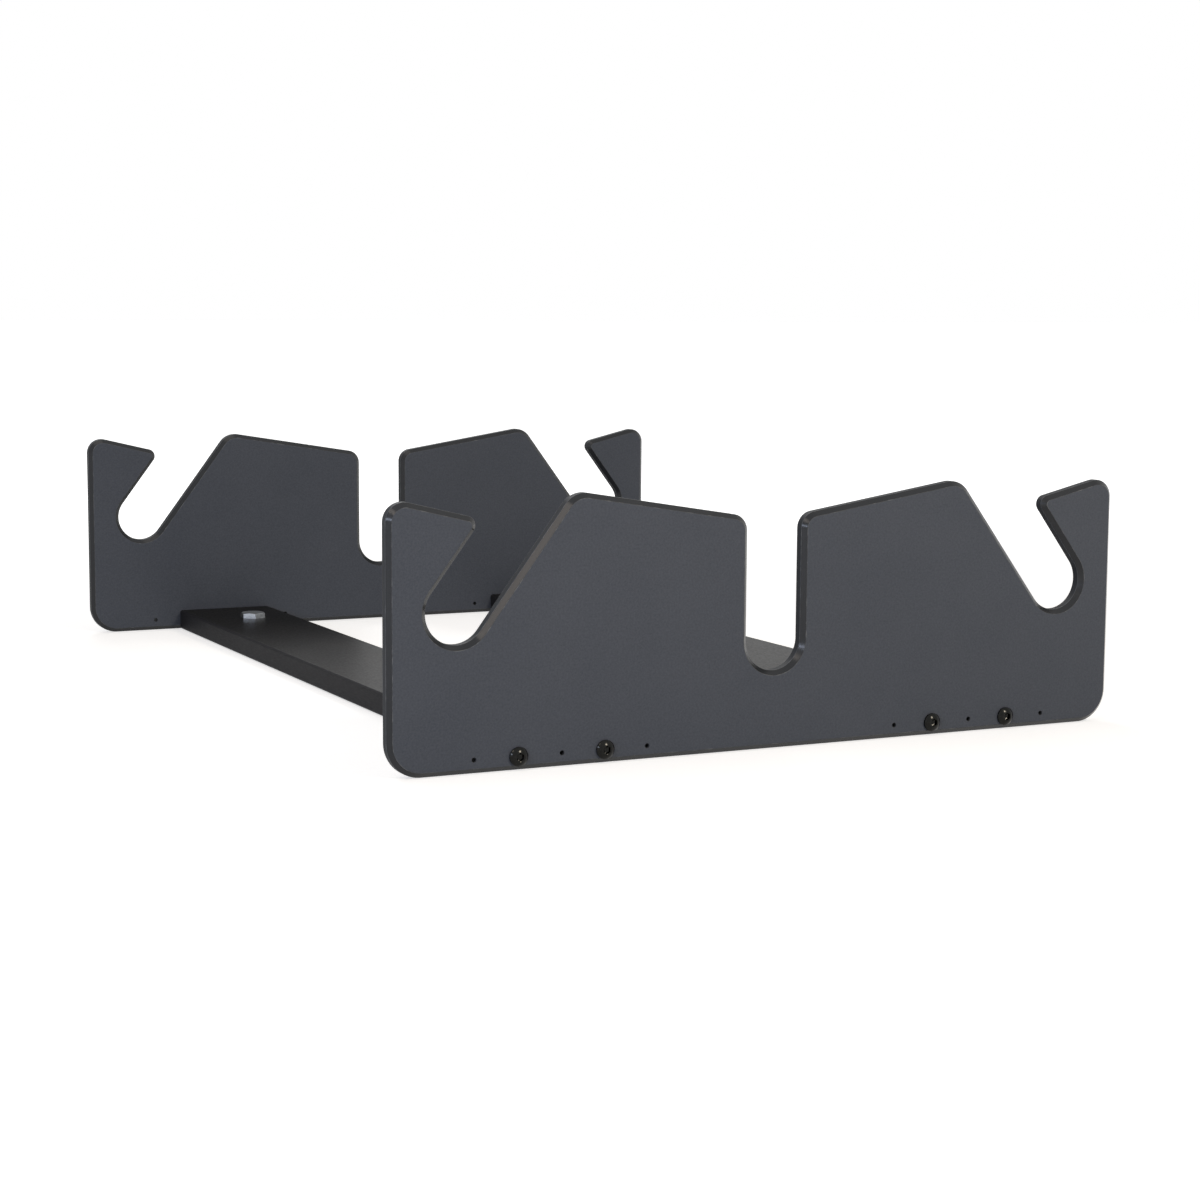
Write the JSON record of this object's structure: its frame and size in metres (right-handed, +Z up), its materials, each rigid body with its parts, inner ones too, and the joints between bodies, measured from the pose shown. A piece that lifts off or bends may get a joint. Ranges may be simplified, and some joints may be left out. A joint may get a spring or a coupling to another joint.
{
  "type": "ski rack stand",
  "caption": "Low free-standing rack: two notched plates on edge, joined by two flat crossbars, hold skis or boards in slanted and upright slots.",
  "frame": {"origin": "on the floor, at the middle of the stand", "axes": "+X along the plates to the right seen from the front, +Y from the front plate to the rear plate, +Z up"},
  "size_m": [0.4572, 0.6282, 0.1456],
  "materials": {
    "hdpe": "dark grey HDPE sheet, fine matte texture, routed edges",
    "black_oxide_steel": "black oxide, slightly oiled",
    "brass": "plain turned brass",
    "zinc_plated_steel": "bright zinc plate"
  },
  "bodies": {
    "root": {"front_plate": "hdpe", "rear_plate": "hdpe", "left_crossbar": "hdpe", "right_crossbar": "hdpe", "front_left_outer_screw": "black_oxide_steel", "front_left_outer_insert": "brass", "front_left_inner_screw": "black_oxide_steel", "front_left_inner_insert": "brass", "front_right_outer_screw": "black_oxide_steel", "front_right_outer_insert": "brass", "front_right_inner_screw": "black_oxide_steel", "front_right_inner_insert": "brass", "rear_left_outer_screw": "black_oxide_steel", "rear_left_outer_insert": "brass", "rear_left_inner_screw": "black_oxide_steel", "rear_left_inner_insert": "brass", "rear_right_outer_screw": "black_oxide_steel", "rear_right_outer_insert": "brass", "rear_right_inner_screw": "black_oxide_steel", "rear_right_inner_insert": "brass", "front_left_bolt": "zinc_plated_steel", "front_left_washer": "zinc_plated_steel", "front_left_nut": "zinc_plated_steel", "front_right_bolt": "zinc_plated_steel", "front_right_washer": "zinc_plated_steel", "front_right_nut": "zinc_plated_steel", "rear_left_bolt": "zinc_plated_steel", "rear_left_washer": "zinc_plated_steel", "rear_left_nut": "zinc_plated_steel", "rear_right_bolt": "zinc_plated_steel", "rear_right_washer": "zinc_plated_steel", "rear_right_nut": "zinc_plated_steel"}
  },
  "joints": []
}
